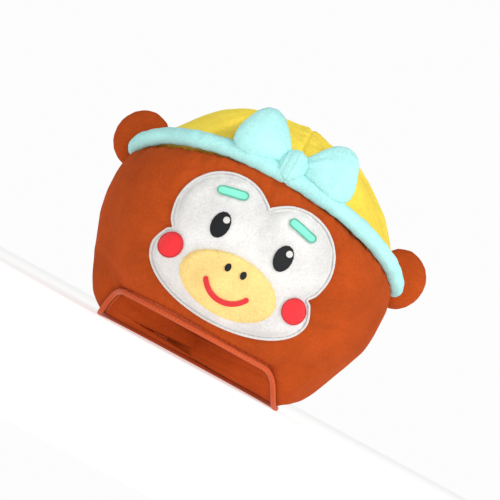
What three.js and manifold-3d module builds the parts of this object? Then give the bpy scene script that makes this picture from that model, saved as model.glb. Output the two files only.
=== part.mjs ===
// Padded plush monkey hat: a brown hood with a yellow crown, a light blue padded headband with a bow,
// round ears and a felt face. It stands on its rim with the crown up. Millimetres, +Z up, -Y is the front.

import * as THREE from 'three';
import { LoftGeometry } from 'three/addons/geometries/LoftGeometry.js';
import { mergeVertices } from 'three/addons/utils/BufferGeometryUtils.js';
import Module from 'manifold-3d';

const wasm = await Module();
wasm.setup();

// Driving sizes of the padded head
const hoodWidth = 316;
const hoodDepth = 268;
const seamFront = 198;
const seamSide = 174;
const crownRise = 110;
const planSquareness = 2.35;

// Opening for the head
const openingWidth = 200;
const openingDepth = 182;
const rimWall = 4;
const hollowHeight = 168;
const archHeight = 30;
const archLeft = 62;
const archRampLeft = 17;
const archRight = 44;
const archRampRight = 24;

// Rim hem, lining and closure
const hemHeight = 5;
const hemThickness = 5;
const liningThickness = 2;
const flapWidth = 96;
const flapHeight = 40;
const flapThickness = 3;
const flapOffset = -18;
const patchWidth = 58;
const patchHeight = 20;
const patchThickness = 1.5;
const patchLift = 9;

// Headband
const bandThickness = 17;
const bandFront = 200;
const bandDrop = 35;
const bandSagLeft = 2.8;
const bandSagRight = 2;
const bandHalfAngle = 82;
const bandTip = 0.45;
const bandTipShare = 0.07;
const bandLift = 0.18;

// Bow
const bowLoopLength = 56;
const bowLoopHeight = 56;
const bowLoopThickness = 26;
const bowTilt = 20;
const bowLift = 9;
const knotWidth = 28;
const knotHeight = 34;
const knotThickness = 32;

// Ears
const earWidth = 62;
const earHeight = 68;
const earThickness = 29;
const earLift = 188;
const earStandOut = 44;
const earSetback = 2;

// Face: heights are above the floor, offsets are from the middle
const feltThickness = 1.4;
const faceLobeRadius = 46;
const faceLobeOffset = 35;
const faceLobeLift = 133;
const faceChinWidth = 166;
const faceChinHeight = 82;
const faceChinLift = 87;
const facePatchThickness = 2;
const muzzleWidth = 98;
const muzzleHeight = 56;
const muzzleLift = 82;
const muzzlePadding = 12;
const smileRadius = 25;
const smileHalfAngle = 58;
const smileWidth = 5;
const smileLift = 91;
const nostrilWidth = 6;
const nostrilHeight = 8;
const nostrilOffset = 8;
const nostrilLift = 96;
const eyeWidth = 18;
const eyeHeight = 26;
const eyeOffset = 33;
const eyeLift = 128;
const glintRadius = 3.3;
const glintOffset = 3;
const glintLift = 6;
const cheekRadius = 12;
const cheekClearance = 5;
const cheekLift = 91;
const browLength = 30;
const browWidth = 8;
const browOffset = 37;
const browLift = 160;
const browTilt = 12;

// Gap between pieces that touch
const gap = 0.3;

// Profile of the hood from rim to seam: share of the rise, and share of the way from the rim's half
// width and half depth to the full ones
const hoodProfile = [
  { rise: 0.0, width: 0.0, depth: 0.0 },
  { rise: 0.02, width: 0.083, depth: 0.1 },
  { rise: 0.05, width: 0.175, depth: 0.225 },
  { rise: 0.1, width: 0.3, depth: 0.36 },
  { rise: 0.18, width: 0.438, depth: 0.52 },
  { rise: 0.29, width: 0.585, depth: 0.685 },
  { rise: 0.41, width: 0.757, depth: 0.845 },
  { rise: 0.54, width: 0.902, depth: 0.955 },
  { rise: 0.67, width: 0.979, depth: 1.0 },
  { rise: 0.8, width: 1.0, depth: 0.97 },
  { rise: 0.91, width: 0.962, depth: 0.88 },
  { rise: 1.0, width: 0.88, depth: 0.75 },
];

// Profile of the crown from seam to top, as shares of its rise and of its size at the seam
const crownProfile = [
  { rise: 0.0, size: 1.0 },
  { rise: 0.13, size: 0.958 },
  { rise: 0.28, size: 0.893 },
  { rise: 0.42, size: 0.818 },
  { rise: 0.56, size: 0.736 },
  { rise: 0.68, size: 0.645 },
  { rise: 0.79, size: 0.535 },
  { rise: 0.88, size: 0.414 },
  { rise: 0.95, size: 0.271 },
  { rise: 0.99, size: 0.125 },
];

// Profile of the head hollow from rim to dome, as shares of its height and of the opening's half sizes
const hollowProfile = [
  { rise: 0.0, size: 1.0 },
  { rise: 0.22, size: 1.01 },
  { rise: 0.45, size: 0.985 },
  { rise: 0.63, size: 0.9 },
  { rise: 0.79, size: 0.745 },
  { rise: 0.91, size: 0.53 },
  { rise: 0.98, size: 0.28 },
];

const columns = 48;
const footShare = 0.8;

const plush = (color) => new THREE.MeshStandardMaterial({ color, roughness: 0.95, metalness: 0 });
const brown = plush(0xb24a1a);
const yellow = plush(0xfcd648);
const lightBlue = plush(0xc0f5f2);
const white = plush(0xefeeec);
const cream = plush(0xf8d98c);
const red = plush(0xf0464a);
const mint = plush(0x8febd0);
const black = plush(0x22252b);
const hemOrange = plush(0xd9602f);
const satin = new THREE.MeshStandardMaterial({ color: 0xc24a14, roughness: 0.4, metalness: 0 });
const tapeBrown = plush(0xa8401a);

const radians = THREE.MathUtils.degToRad;
const { lerp, smoothstep } = THREE.MathUtils;

// Closed solid of a geometry whose shared vertices are merged, with its faces pointing out
function solid(geometry) {
  const bare = new THREE.BufferGeometry();
  bare.setAttribute('position', geometry.attributes.position);
  bare.setIndex(geometry.index);
  const merged = mergeVertices(bare, 1e-4);
  const vertProperties = new Float32Array(merged.attributes.position.array);
  const corners = Array.from(merged.index ? merged.index.array : vertProperties.keys());
  const faces = [];
  for (let i = 0; i < corners.length; i += 3) {
    const [a, b, c] = corners.slice(i, i + 3);
    if (a !== b && b !== c && c !== a) faces.push(a, b, c);
  }
  let volume = 0;
  const corner = (k) => new THREE.Vector3().fromArray(vertProperties, 3 * k);
  for (let i = 0; i < faces.length; i += 3) {
    volume += corner(faces[i]).dot(corner(faces[i + 1]).cross(corner(faces[i + 2])));
  }
  if (volume < 0) faces.reverse();
  return new wasm.Manifold(new wasm.Mesh({ numProp: 3, vertProperties, triVerts: new Uint32Array(faces) }));
}

// Named mesh of a solid
function piece(name, body, material) {
  const made = body.getMesh();
  const geometry = new THREE.BufferGeometry();
  geometry.setAttribute('position', new THREE.BufferAttribute(new Float32Array(made.vertProperties), 3));
  geometry.setIndex(new THREE.BufferAttribute(new Uint32Array(made.triVerts), 1));
  geometry.computeVertexNormals();
  const mesh = new THREE.Mesh(geometry, material);
  mesh.name = name;
  return mesh;
}

// Solid through a row of rings, closed at the middle of its first and last ring
function loft(rings) {
  const total = (ring) => ring.reduce((sum, point) => sum.add(point), new THREE.Vector3());
  const middle = (ring) => total(ring).divideScalar(ring.length);
  const closing = (ring) => ring.map(() => middle(ring));
  return solid(new LoftGeometry([closing(rings[0]), ...rings, closing(rings[rings.length - 1])]));
}

// Value of a profile column at a share of its rise
function profileValue(profile, column, rise) {
  const last = profile.length - 1;
  let row = 0;
  while (row < last - 1 && rise > profile[row + 1].rise) row += 1;
  const [a, b] = [profile[row], profile[row + 1]];
  return lerp(a[column], b[column], (rise - a.rise) / (b.rise - a.rise));
}

// Distance from the axis to a rounded plan outline at an azimuth, where 0 is the front
function planRadius(azimuth, halfWidth, halfDepth) {
  const across = Math.abs(Math.sin(azimuth) / halfWidth) ** planSquareness;
  const along = Math.abs(Math.cos(azimuth) / halfDepth) ** planSquareness;
  return (across + along) ** (-1 / planSquareness);
}

function planPoint(azimuth, halfWidth, halfDepth, z) {
  const radius = planRadius(azimuth, halfWidth, halfDepth);
  return new THREE.Vector3(radius * Math.sin(azimuth), -radius * Math.cos(azimuth), z);
}

// The rim lies on the floor at the back and sides and is arched up across the front, where its cloth
// hangs unevenly: the arch reaches further round on the left and comes down more steeply there
function rimHeight(azimuth) {
  const turned = Math.atan2(Math.sin(azimuth), Math.cos(azimuth));
  const halfAngle = turned < 0 ? archLeft : archRight;
  const ramp = turned < 0 ? archRampLeft : archRampRight;
  return archHeight * (1 - smoothstep(Math.abs(turned), radians(halfAngle), radians(halfAngle + ramp)));
}

const rimHalfWidth = openingWidth / 2 + liningThickness + rimWall;
const rimHalfDepth = openingDepth / 2 + liningThickness + rimWall;
const seamHeight = (azimuth) => lerp(seamSide, seamFront, Math.cos(azimuth) ** 2);

// Point of the outside: 0 to 1 runs from rim to seam and 1 to 2 from seam to top
function skinPoint(azimuth, rise) {
  const onHood = Math.min(rise, 1);
  const onCrown = Math.max(rise - 1, 0);
  const size = profileValue(crownProfile, 'size', onCrown);
  const halfWidth = lerp(rimHalfWidth, hoodWidth / 2, profileValue(hoodProfile, 'width', onHood)) * size;
  const halfDepth = lerp(rimHalfDepth, hoodDepth / 2, profileValue(hoodProfile, 'depth', onHood)) * size;
  const seam = seamHeight(azimuth);
  const hoodHeight = lerp(rimHeight(azimuth) + hemHeight + gap, seam, onHood);
  return planPoint(azimuth, halfWidth, halfDepth, lerp(hoodHeight, seamSide + crownRise, onCrown));
}

// The same point moved outwards by a distance
function grownPoint(azimuth, rise, grow) {
  const step = 0.01;
  const along = skinPoint(azimuth + step, rise).sub(skinPoint(azimuth - step, rise));
  const up = skinPoint(azimuth, Math.min(rise + step, 2)).sub(skinPoint(azimuth, Math.max(rise - step, 0)));
  const outward = along.cross(up).normalize();
  return skinPoint(azimuth, rise).addScaledVector(outward, grow);
}

const azimuths = Array.from({ length: columns }, (_, i) => (2 * Math.PI * i) / columns);
const hoodRises = hoodProfile.map((row) => row.rise);
const crownRises = crownProfile.slice(1).map((row) => 1 + row.rise);
const skinRing = (rise, grow = 0) => azimuths.map((azimuth) => grownPoint(azimuth, rise, grow));

// Ring scaled about the axis, and moved up or down
function movedRing(ring, share, up) {
  return ring.map((point) => new THREE.Vector3(point.x * share, point.y * share, point.z + up));
}

const peakRing = (z) => azimuths.map(() => new THREE.Vector3(0, 0, z));

// Whole padded head grown by a distance, used to trim what is sewn on it
function headForm(grow) {
  const rings = [...hoodRises, ...crownRises].map((rise) => skinRing(rise, grow));
  return loft([movedRing(rings[0], footShare, 0), ...rings, peakRing(seamSide + crownRise + grow)]);
}

// Head hollow grown outwards by a distance, with its foot lowered past the rim
function hollowForm(grow, drop) {
  const rings = hollowProfile.map((row) => {
    const halfWidth = (openingWidth / 2) * row.size + grow;
    const halfDepth = (openingDepth / 2) * row.size + grow;
    return azimuths.map((azimuth) => {
      const low = rimHeight(azimuth) + hemHeight + gap;
      return planPoint(azimuth, halfWidth, halfDepth, lerp(low, hollowHeight + grow, row.rise));
    });
  });
  const foot = movedRing(rings[0], 1, -drop);
  const walls = rings.slice(drop > 0 ? 0 : 1);
  return loft([movedRing(foot, footShare, 0), foot, ...walls, peakRing(hollowHeight + grow)]);
}

// Everything below the nearly level seam between hood and crown
function belowSeam(offset) {
  const edge = skinRing(1);
  const wide = movedRing(edge, 1.3, offset);
  const floor = wide.map((point) => point.clone().setZ(-hemHeight));
  const middle = new THREE.Vector3(0, 0, seamFront + offset);
  const shrunk = (share) => movedRing(edge, 1, offset).map((point) => point.lerp(middle, 1 - share));
  const inner = [shrunk(1), shrunk(0.5)];
  return loft([floor, wide, ...inner, peakRing(middle.z)]);
}

function hoodShell() {
  const block = head(0).intersect(belowSeam(0));
  return block.subtract(hollowForm(liningThickness + gap, hemHeight)).subtract(rimHem(gap));
}

const crown = () => head(0).subtract(belowSeam(gap));

function lining() {
  return hollowForm(liningThickness, 0).subtract(hollowForm(0, hemHeight)).subtract(rimHem(gap));
}

// Rolled hem that follows the rim, with a flat underside
function rimHem(grow) {
  const halfWidth = openingWidth / 2 + liningThickness;
  const halfDepth = openingDepth / 2 + liningThickness;
  const corner = 0.2;
  const section = [
    { out: 0, up: 0 },
    { out: 1, up: 0 },
    { out: 1 + corner, up: 0.5 },
    { out: 1, up: 1 },
    { out: 0, up: 1 },
    { out: -corner, up: 0.5 },
  ];
  const rings = [...azimuths, azimuths[0]].map((azimuth) =>
    section.map(({ out, up }) => {
      const outward = out * hemThickness + (2 * out - 1) * grow;
      const z = rimHeight(azimuth) + up * hemHeight + (2 * up - 1) * grow;
      return planPoint(azimuth, halfWidth + outward, halfDepth + outward, z);
    }),
  );
  return solid(new LoftGeometry(rings));
}

// Prism along the front-back direction behind an outline drawn in the face's plane
function facePrism(shape, x, z, turn = 0) {
  const depth = hoodDepth;
  const geometry = new THREE.ExtrudeGeometry(shape, { depth, bevelEnabled: false, curveSegments: 8 });
  geometry.rotateX(Math.PI / 2);
  geometry.rotateY(radians(turn));
  geometry.translate(x, 0, z);
  return solid(geometry);
}

function ellipseShape(width, height) {
  const shape = new THREE.Shape();
  shape.absellipse(0, 0, width / 2, height / 2, 0, 2 * Math.PI);
  return shape;
}

function pillShape(length, width) {
  const shape = new THREE.Shape();
  const straight = (length - width) / 2;
  shape.absarc(straight, 0, width / 2, -Math.PI / 2, Math.PI / 2);
  shape.absarc(-straight, 0, width / 2, Math.PI / 2, (3 * Math.PI) / 2);
  return shape;
}

// Open smile with round ends
function smileShape() {
  const shape = new THREE.Shape();
  const start = -Math.PI / 2 - radians(smileHalfAngle);
  const end = -Math.PI / 2 + radians(smileHalfAngle);
  const half = smileWidth / 2;
  const tip = (angle) => [smileRadius * Math.cos(angle), smileRadius * Math.sin(angle)];
  shape.absarc(0, 0, smileRadius + half, start, end);
  shape.absarc(...tip(end), half, end, end + Math.PI);
  shape.absarc(0, 0, smileRadius - half, end, start, true);
  shape.absarc(...tip(start), half, start + Math.PI, start + 2 * Math.PI);
  return shape;
}

const forms = new Map();
function head(grow) {
  const key = grow.toFixed(3);
  if (!forms.has(key)) forms.set(key, headForm(grow));
  return forms.get(key);
}

// Felt piece of a thickness that lies on the head over a layer of a height
const applique = (prism, under, thickness) => head(under + thickness).intersect(prism).subtract(head(under));

// Value between two limits at which a test stops being true
function lastTrue(test, low, high) {
  let [near, far] = [low, high];
  for (let i = 0; i < 24; i += 1) {
    const middle = (near + far) / 2;
    if (test(middle)) near = middle;
    else far = middle;
  }
  return near;
}

const riseAtHeight = (azimuth, z, grow) => lastTrue((rise) => grownPoint(azimuth, rise, grow).z < z, 0, 2);

// Front-back place of the head's grown front at an offset and a height
function faceSurfaceY(x, z, grow) {
  const inside = (forward) => {
    const azimuth = Math.atan2(x, forward);
    const skin = grownPoint(azimuth, riseAtHeight(azimuth, z, grow), grow);
    return Math.hypot(x, forward) < Math.hypot(skin.x, skin.y);
  };
  return -lastTrue(inside, 0, hoodDepth);
}

// Cushion with a thin edge and a full middle, as an oval of shrinking rings on the head

function muzzleForm(under) {
  const sides = 24;
  const rows = [
    { size: 1.0, height: 0.1 },
    { size: 0.97, height: 0.34 },
    { size: 0.86, height: 0.62 },
    { size: 0.68, height: 0.83 },
    { size: 0.4, height: 0.96 },
    { size: 0.08, height: 1.0 },
  ];
  const ring = (size, height) =>
    Array.from({ length: sides }, (_, i) => {
      const angle = (2 * Math.PI * i) / sides;
      const x = (muzzleWidth / 2) * size * Math.cos(angle);
      const z = muzzleLift + (muzzleHeight / 2) * size * Math.sin(angle);
      return new THREE.Vector3(x, faceSurfaceY(x, z, under) - height * muzzlePadding, z);
    });
  const back = rows.map((row) => ring(row.size, 0)).reverse();
  return loft([...back, ...rows.map((row) => ring(row.size, row.height))]);
}

// Felt piece on the muzzle's curved front
function muzzleApplique(prism) {
  const base = muzzleForm(facePatchThickness + 2 * gap);
  const shift = new THREE.Vector3(0, -gap, 0);
  const near = base.translate(shift.toArray());
  const far = base.translate([0, -gap - feltThickness, 0]);
  return far.intersect(prism).subtract(near);
}

// Headband centre line on the head, and its rounded tapering roll
function bandForm(grow) {
  const steps = 32;
  const sides = 10;
  const sections = Array.from({ length: steps + 1 }, (_, i) => {
    const along = (2 * i) / steps - 1;
    const centre = bandCentre(along);
    const tangent = bandCentre(along + 0.01).sub(bandCentre(along - 0.01)).normalize();
    const outward = new THREE.Vector3(centre.x, centre.y, 0).normalize();
    const up = outward.clone().cross(tangent).normalize();
    const across = tangent.clone().cross(up).normalize();
    const end = (1 - Math.abs(along)) / bandTipShare;
    const fullness = end >= 1 ? 1 : lerp(bandTip, 1, Math.sqrt(Math.max(0, 1 - (1 - end) ** 2)));
    const radius = (bandThickness / 2) * fullness + grow;
    return Array.from({ length: sides }, (_, k) => {
      const angle = (2 * Math.PI * k) / sides;
      return centre
        .clone()
        .addScaledVector(across, radius * Math.cos(angle))
        .addScaledVector(up, radius * Math.sin(angle));
    });
  });
  return loft(sections);
}

function bandCentre(along) {
  const azimuth = radians(bandHalfAngle) * along;
  const z = bandFront - bandDrop * Math.abs(along) ** (along < 0 ? bandSagLeft : bandSagRight);
  return grownPoint(azimuth, riseAtHeight(azimuth, z, 0), bandThickness * bandLift);
}

// Padded round ear with a soft edge
function earForm(side) {
  const profile = [];
  const steps = 10;
  for (let i = 0; i <= steps; i += 1) {
    const angle = (Math.PI * i) / steps - Math.PI / 2;
    const radius = Math.cos(angle) ** 0.75;
    profile.push(new THREE.Vector2(i % steps === 0 ? 0 : radius, Math.sin(angle)));
  }
  const geometry = new THREE.LatheGeometry(profile, 24);
  geometry.scale(earWidth / 2, earThickness / 2, earHeight / 2);
  const besideHead = skinPoint(Math.PI / 2, riseAtHeight(Math.PI / 2, earLift, 0)).x;
  geometry.translate(side * (besideHead + earStandOut - earWidth / 2), earSetback, earLift);
  return solid(geometry).subtract(head(gap));
}

// Bow loop: a stuffed pillow, narrow at the knot and full at the free end
const loopProfile = [
  { along: 0.0, height: 0.26, thickness: 0.4 },
  { along: 0.16, height: 0.46, thickness: 0.64 },
  { along: 0.36, height: 0.76, thickness: 0.9 },
  { along: 0.58, height: 0.97, thickness: 1.0 },
  { along: 0.77, height: 0.98, thickness: 0.94 },
  { along: 0.9, height: 0.82, thickness: 0.74 },
  { along: 0.975, height: 0.52, thickness: 0.46 },
];

function bowBase() {
  const centre = bandCentre(0);
  return new THREE.Vector3(0, centre.y, centre.z + bowLift);
}

function bowLoop(side) {
  const sides = 16;
  const sections = loopProfile.map((row) =>
    Array.from({ length: sides }, (_, k) => {
      const angle = (2 * Math.PI * k) / sides;
      const height = (bowLoopHeight / 2) * row.height * Math.sin(angle);
      const thickness = (bowLoopThickness / 2) * row.thickness * Math.cos(angle);
      return new THREE.Vector3(knotWidth * 0.25 + bowLoopLength * row.along, thickness, height);
    }),
  );
  const base = bowBase();
  const rotated = sections.map((ring) =>
    ring.map((point) => {
      const turned = point.applyAxisAngle(new THREE.Vector3(0, 1, 0), -radians(bowTilt));
      return turned.setX(side * turned.x).add(base);
    }),
  );
  return loft(rotated);
}

function knotForm(grow) {
  const geometry = new THREE.SphereGeometry(0.5, 16, 10);
  geometry.rotateX(Math.PI / 2);
  geometry.scale(knotWidth + 2 * grow, knotThickness + 2 * grow, knotHeight + 2 * grow);
  const base = bowBase();
  geometry.translate(base.x, base.y, base.z);
  return solid(geometry);
}

// Closure at the back of the opening
function backTab(width, height, thickness, x, lift, depthFrom) {
  const shape = pillRectangle(width, height);
  const settings = { depth: hoodDepth, bevelEnabled: false, curveSegments: 4 };
  const geometry = new THREE.ExtrudeGeometry(shape, settings);
  geometry.rotateX(-Math.PI / 2);
  geometry.rotateY(Math.PI);
  geometry.translate(x, 0, lift + height / 2);
  const outer = hollowForm(-depthFrom, 0);
  const inner = hollowForm(-depthFrom - thickness, 0);
  return solid(geometry).intersect(outer).subtract(inner);
}

function pillRectangle(width, height) {
  const round = Math.min(width, height) * 0.18;
  const shape = new THREE.Shape();
  const [x, z] = [width / 2 - round, height / 2 - round];
  shape.absarc(x, z, round, 0, Math.PI / 2);
  shape.absarc(-x, z, round, Math.PI / 2, Math.PI);
  shape.absarc(-x, -z, round, Math.PI, (3 * Math.PI) / 2);
  shape.absarc(x, -z, round, (3 * Math.PI) / 2, 2 * Math.PI);
  return shape;
}

const hat = new THREE.Group();
const body = hoodShell();
hat.add(piece('hood_shell', body, brown));
hat.add(piece('crown', crown(), yellow));
hat.add(piece('lining', lining(), satin));
hat.add(piece('rim_hem', rimHem(0), hemOrange));

const knot = knotForm(0);
const bandBase = bandForm(0).subtract(head(gap));
hat.add(piece('headband', bandBase, lightBlue));
for (const [name, side] of [['left', -1], ['right', 1]]) {
  const loop = bowLoop(side).subtract(head(gap)).subtract(bandForm(gap)).subtract(knotForm(gap));
  hat.add(piece(`bow_loop_${name}`, loop, lightBlue));
  hat.add(piece(`ear_${name}`, earForm(side).subtract(bandForm(gap)), brown));
}
hat.add(piece('bow_knot', knot.subtract(head(gap)).subtract(bandForm(gap)), lightBlue));

const patchOutline = [
  facePrism(ellipseShape(2 * faceLobeRadius, 2 * faceLobeRadius), -faceLobeOffset, faceLobeLift),
  facePrism(ellipseShape(2 * faceLobeRadius, 2 * faceLobeRadius), faceLobeOffset, faceLobeLift),
  facePrism(ellipseShape(faceChinWidth, faceChinHeight), 0, faceChinLift),
];
const facePatch = patchOutline.reduce((joined, prism) => joined.add(prism));
hat.add(piece('face_patch', applique(facePatch, gap, facePatchThickness), white));

const onFace = facePatchThickness + 2 * gap;
hat.add(piece('muzzle', muzzleForm(onFace), cream));
const smile = facePrism(smileShape(), 0, smileLift);
hat.add(piece('mouth', muzzleApplique(smile), red));

const onEye = onFace + feltThickness + gap;
for (const [name, side] of [['left', -1], ['right', 1]]) {
  const nostril = facePrism(ellipseShape(nostrilWidth, nostrilHeight), side * nostrilOffset, nostrilLift);
  hat.add(piece(`nostril_${name}`, muzzleApplique(nostril), black));
  const eye = facePrism(ellipseShape(eyeWidth, eyeHeight), side * eyeOffset, eyeLift);
  hat.add(piece(`eye_${name}`, applique(eye, onFace, feltThickness), black));
  const glint = ellipseShape(2 * glintRadius, 2 * glintRadius);
  const glintPrism = facePrism(glint, side * eyeOffset + glintOffset, eyeLift + glintLift);
  hat.add(piece(`glint_${name}`, applique(glintPrism, onEye, feltThickness), white));
  const cheekOffset = muzzleWidth / 2 + cheekClearance + cheekRadius;
  const cheek = facePrism(ellipseShape(2 * cheekRadius, 2 * cheekRadius), side * cheekOffset, cheekLift);
  hat.add(piece(`cheek_${name}`, applique(cheek, onFace, feltThickness), red));
  const brow = facePrism(pillShape(browLength, browWidth), side * browOffset, browLift, side * browTilt);
  hat.add(piece(`brow_${name}`, applique(brow, onFace, feltThickness), mint));
}

const flap = backTab(flapWidth, flapHeight, flapThickness, flapOffset, hemHeight + gap, gap);
hat.add(piece('closure_flap', flap, satin));
const onFlap = 2 * gap + flapThickness;
const patch = backTab(patchWidth, patchHeight, patchThickness, flapOffset, patchLift, onFlap);
hat.add(piece('hook_patch', patch, tapeBrown));

// The origin is the middle of the hat's footprint, on the floor
const bounds = new THREE.Box3().setFromObject(hat);
hat.position.y = -(bounds.min.y + bounds.max.y) / 2;

export default hat;
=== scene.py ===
# Soft pieces, stitching, materials and stage of a padded plush monkey hat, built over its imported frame.

import math

import bmesh
import bpy
import numpy as np
from bpy.props import FloatProperty, FloatVectorProperty, PointerProperty
from bpy.types import Operator, Panel, PropertyGroup
from mathutils import Matrix, Vector
from mathutils.bvhtree import BVHTree
from mathutils.kdtree import KDTree


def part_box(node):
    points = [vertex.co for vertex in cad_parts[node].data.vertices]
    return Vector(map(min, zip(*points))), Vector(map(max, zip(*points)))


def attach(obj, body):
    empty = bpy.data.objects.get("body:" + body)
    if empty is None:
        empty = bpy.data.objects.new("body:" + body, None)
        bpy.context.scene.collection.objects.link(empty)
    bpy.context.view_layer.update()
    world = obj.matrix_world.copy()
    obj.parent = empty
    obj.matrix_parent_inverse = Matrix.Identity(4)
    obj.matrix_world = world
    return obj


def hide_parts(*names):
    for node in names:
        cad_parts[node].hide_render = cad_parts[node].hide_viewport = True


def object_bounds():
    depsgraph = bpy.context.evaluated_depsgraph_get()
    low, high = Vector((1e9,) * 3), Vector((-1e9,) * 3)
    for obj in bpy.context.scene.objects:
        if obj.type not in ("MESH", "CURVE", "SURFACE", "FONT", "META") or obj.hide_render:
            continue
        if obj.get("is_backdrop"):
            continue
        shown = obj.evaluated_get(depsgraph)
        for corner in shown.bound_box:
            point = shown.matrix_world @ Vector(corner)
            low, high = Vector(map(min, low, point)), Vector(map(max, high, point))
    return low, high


bl_info = {
    "name": "Plush monkey hat",
    "version": (1, 0, 0),
    "blender": (4, 5, 0),
    "location": "View3D > Sidebar > Plush hat",
    "description": "Soft pieces, stitching, materials and stage of a padded plush monkey hat",
    "category": "Mesh",
}

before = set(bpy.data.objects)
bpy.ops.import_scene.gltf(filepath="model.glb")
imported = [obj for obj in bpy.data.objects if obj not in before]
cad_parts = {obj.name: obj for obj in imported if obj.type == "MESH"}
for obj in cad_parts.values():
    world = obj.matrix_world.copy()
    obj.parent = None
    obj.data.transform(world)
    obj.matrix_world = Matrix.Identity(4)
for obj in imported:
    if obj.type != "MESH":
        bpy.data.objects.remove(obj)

MM = 0.001
BODY = "root"
HOOD_LOW, HOOD_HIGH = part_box("hood_shell")
CROWN_LOW, CROWN_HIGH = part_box("crown")
AXIS_Y = (HOOD_LOW.y + HOOD_HIGH.y) / 2
HOLLOW_MIDDLE = 45 * MM
MEAN_RADIUS = (HOOD_HIGH.x + (HOOD_HIGH.y - HOOD_LOW.y) / 2) / 2


def linear_colour(code):
    """Linear colour of an sRGB hex code."""
    channels = [int(code[i : i + 2], 16) / 255 for i in (1, 3, 5)]
    linear = [c / 12.92 if c <= 0.04045 else ((c + 0.055) / 1.055) ** 2.4 for c in channels]
    return (*linear, 1.0)


def colour_property(name, code, description):
    return FloatVectorProperty(
        name=name,
        description=description,
        subtype="COLOR",
        size=4,
        min=0.0,
        max=1.0,
        default=linear_colour(code),
    )


def length_property(name, millimetres, description):
    return FloatProperty(
        name=name,
        description=description,
        subtype="DISTANCE",
        unit="LENGTH",
        default=millimetres * MM,
    )


class PlushHatColours(PropertyGroup):
    """Colours of the hat's fabrics and threads"""

    brown: colour_property("Brown plush", "#B04817", "Hood and ears")
    yellow: colour_property("Yellow plush", "#FFD850", "Crown")
    blue: colour_property("Light blue plush", "#ADE6E3", "Headband and bow")
    white: colour_property("White plush", "#DCDBD9", "Face patch and glints")
    cream: colour_property("Cream plush", "#F6D488", "Muzzle")
    red: colour_property("Red felt", "#F2383F", "Cheeks and smile")
    mint: colour_property("Mint felt", "#86E8CC", "Brows")
    black: colour_property("Black thread", "#121417", "Eyes and nostrils")
    satin: colour_property("Satin lining", "#E06A2A", "Lining and closure")
    hem: colour_property("Hem fabric", "#C8572B", "Rolled hem")
    tape: colour_property("Closure tape", "#C2501C", "Hook patch")


class PlushHatSizes(PropertyGroup):
    """Sizes of the hat's sewing and stuffing"""

    swell: length_property("Swell", 5.0, "Furthest that the stuffing pushes the fabric out")
    seam_depth: length_property("Seam depth", 3.2, "How deep a seam pulls the plush in")
    pucker_period: length_property("Pucker period", 11.0, "Distance between puckers along a seam")
    stitch_length: length_property("Stitch length", 3.0, "Length of one lock stitch")
    thread: length_property("Thread thickness", 0.7, "Thickness of the sewing thread")
    edge_width: length_property("Edging width", 2.6, "Width of the satin stitch round the felt")
    band: length_property("Headband thickness", 17.0, "Thickness of the stuffed headband")


def select_only(piece):
    bpy.ops.object.select_all(action="DESELECT")
    piece.select_set(True)
    bpy.context.view_layer.objects.active = piece


def points_of(piece):
    found = np.empty(3 * len(piece.data.vertices))
    piece.data.vertices.foreach_get("co", found)
    return found.reshape(-1, 3)


def normals_of(piece):
    found = np.empty(3 * len(piece.data.vertices))
    piece.data.vertices.foreach_get("normal", found)
    return found.reshape(-1, 3)


def set_points(piece, points):
    piece.data.vertices.foreach_set("co", np.asarray(points, float).ravel())
    piece.data.update()


def move_along_normals(piece, distances):
    set_points(piece, points_of(piece) + normals_of(piece) * np.asarray(distances)[:, None])


def apply_modifier(piece, kind, **settings):
    """Adds a modifier with its settings and applies it."""
    select_only(piece)
    modifier = piece.modifiers.new(kind.title(), kind)
    for name, value in settings.items():
        setattr(modifier, name, value)
    bpy.ops.object.modifier_apply(modifier=modifier.name)


def merge_points(piece, distance=0.01 * MM):
    select_only(piece)
    bpy.ops.object.mode_set(mode="EDIT")
    bpy.ops.mesh.select_all(action="SELECT")
    bpy.ops.mesh.remove_doubles(threshold=distance)
    bpy.ops.object.mode_set(mode="OBJECT")


def face_outwards(piece):
    select_only(piece)
    bpy.ops.object.mode_set(mode="EDIT")
    bpy.ops.mesh.select_all(action="SELECT")
    bpy.ops.mesh.normals_make_consistent(inside=False)
    bpy.ops.object.mode_set(mode="OBJECT")


def copy_of_node(node, name):
    """A merged copy of a frame node's mesh, to be remade as cloth."""
    piece = bpy.data.objects.new(name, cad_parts[node].data.copy())
    bpy.context.scene.collection.objects.link(piece)
    piece.data.materials.clear()
    merge_points(piece)
    return piece


def soft_copy(node, name, voxel, rounds):
    """A node's shape in even small faces, with its corners rounded as sewn cloth has them."""
    piece = copy_of_node(node, name)
    apply_modifier(piece, "REMESH", mode="VOXEL", voxel_size=voxel * MM)
    apply_modifier(piece, "SMOOTH", factor=0.5, iterations=rounds)
    return piece


def surface_of(piece):
    shape = bmesh.new()
    shape.from_mesh(piece.data)
    surface = BVHTree.FromBMesh(shape)
    shape.free()
    return surface


def front_depth(surface, x, z):
    """Where a surface's front lies at an offset and a height, or None beside it."""
    hit = surface.ray_cast(Vector((x, -1.0, z)), Vector((0.0, 1.0, 0.0)))[0]
    return None if hit is None else hit.y


def drape(points, before, after):
    """Moves points front to back by as much as the surface under them has moved."""
    moved = np.array(points, float)
    for point in moved:
        was = front_depth(before, point[0], point[2])
        now = front_depth(after, point[0], point[2])
        if was is not None and now is not None:
            point[1] += now - was
    return moved


def ripple(along, period, seed):
    """Uneven wave between about -1 and 1, as puckers along a seam are uneven."""
    phases = np.random.default_rng(seed).uniform(0, 2 * math.pi, 4)
    turns = 2 * math.pi * np.asarray(along) / period
    waves = [
        0.55 * np.sin(turns + phases[0]),
        0.3 * np.sin(0.61 * turns + phases[1]),
        0.25 * np.sin(1.53 * turns + phases[2]),
        0.15 * np.sin(0.17 * turns + phases[3]),
    ]
    return sum(waves)


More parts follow.
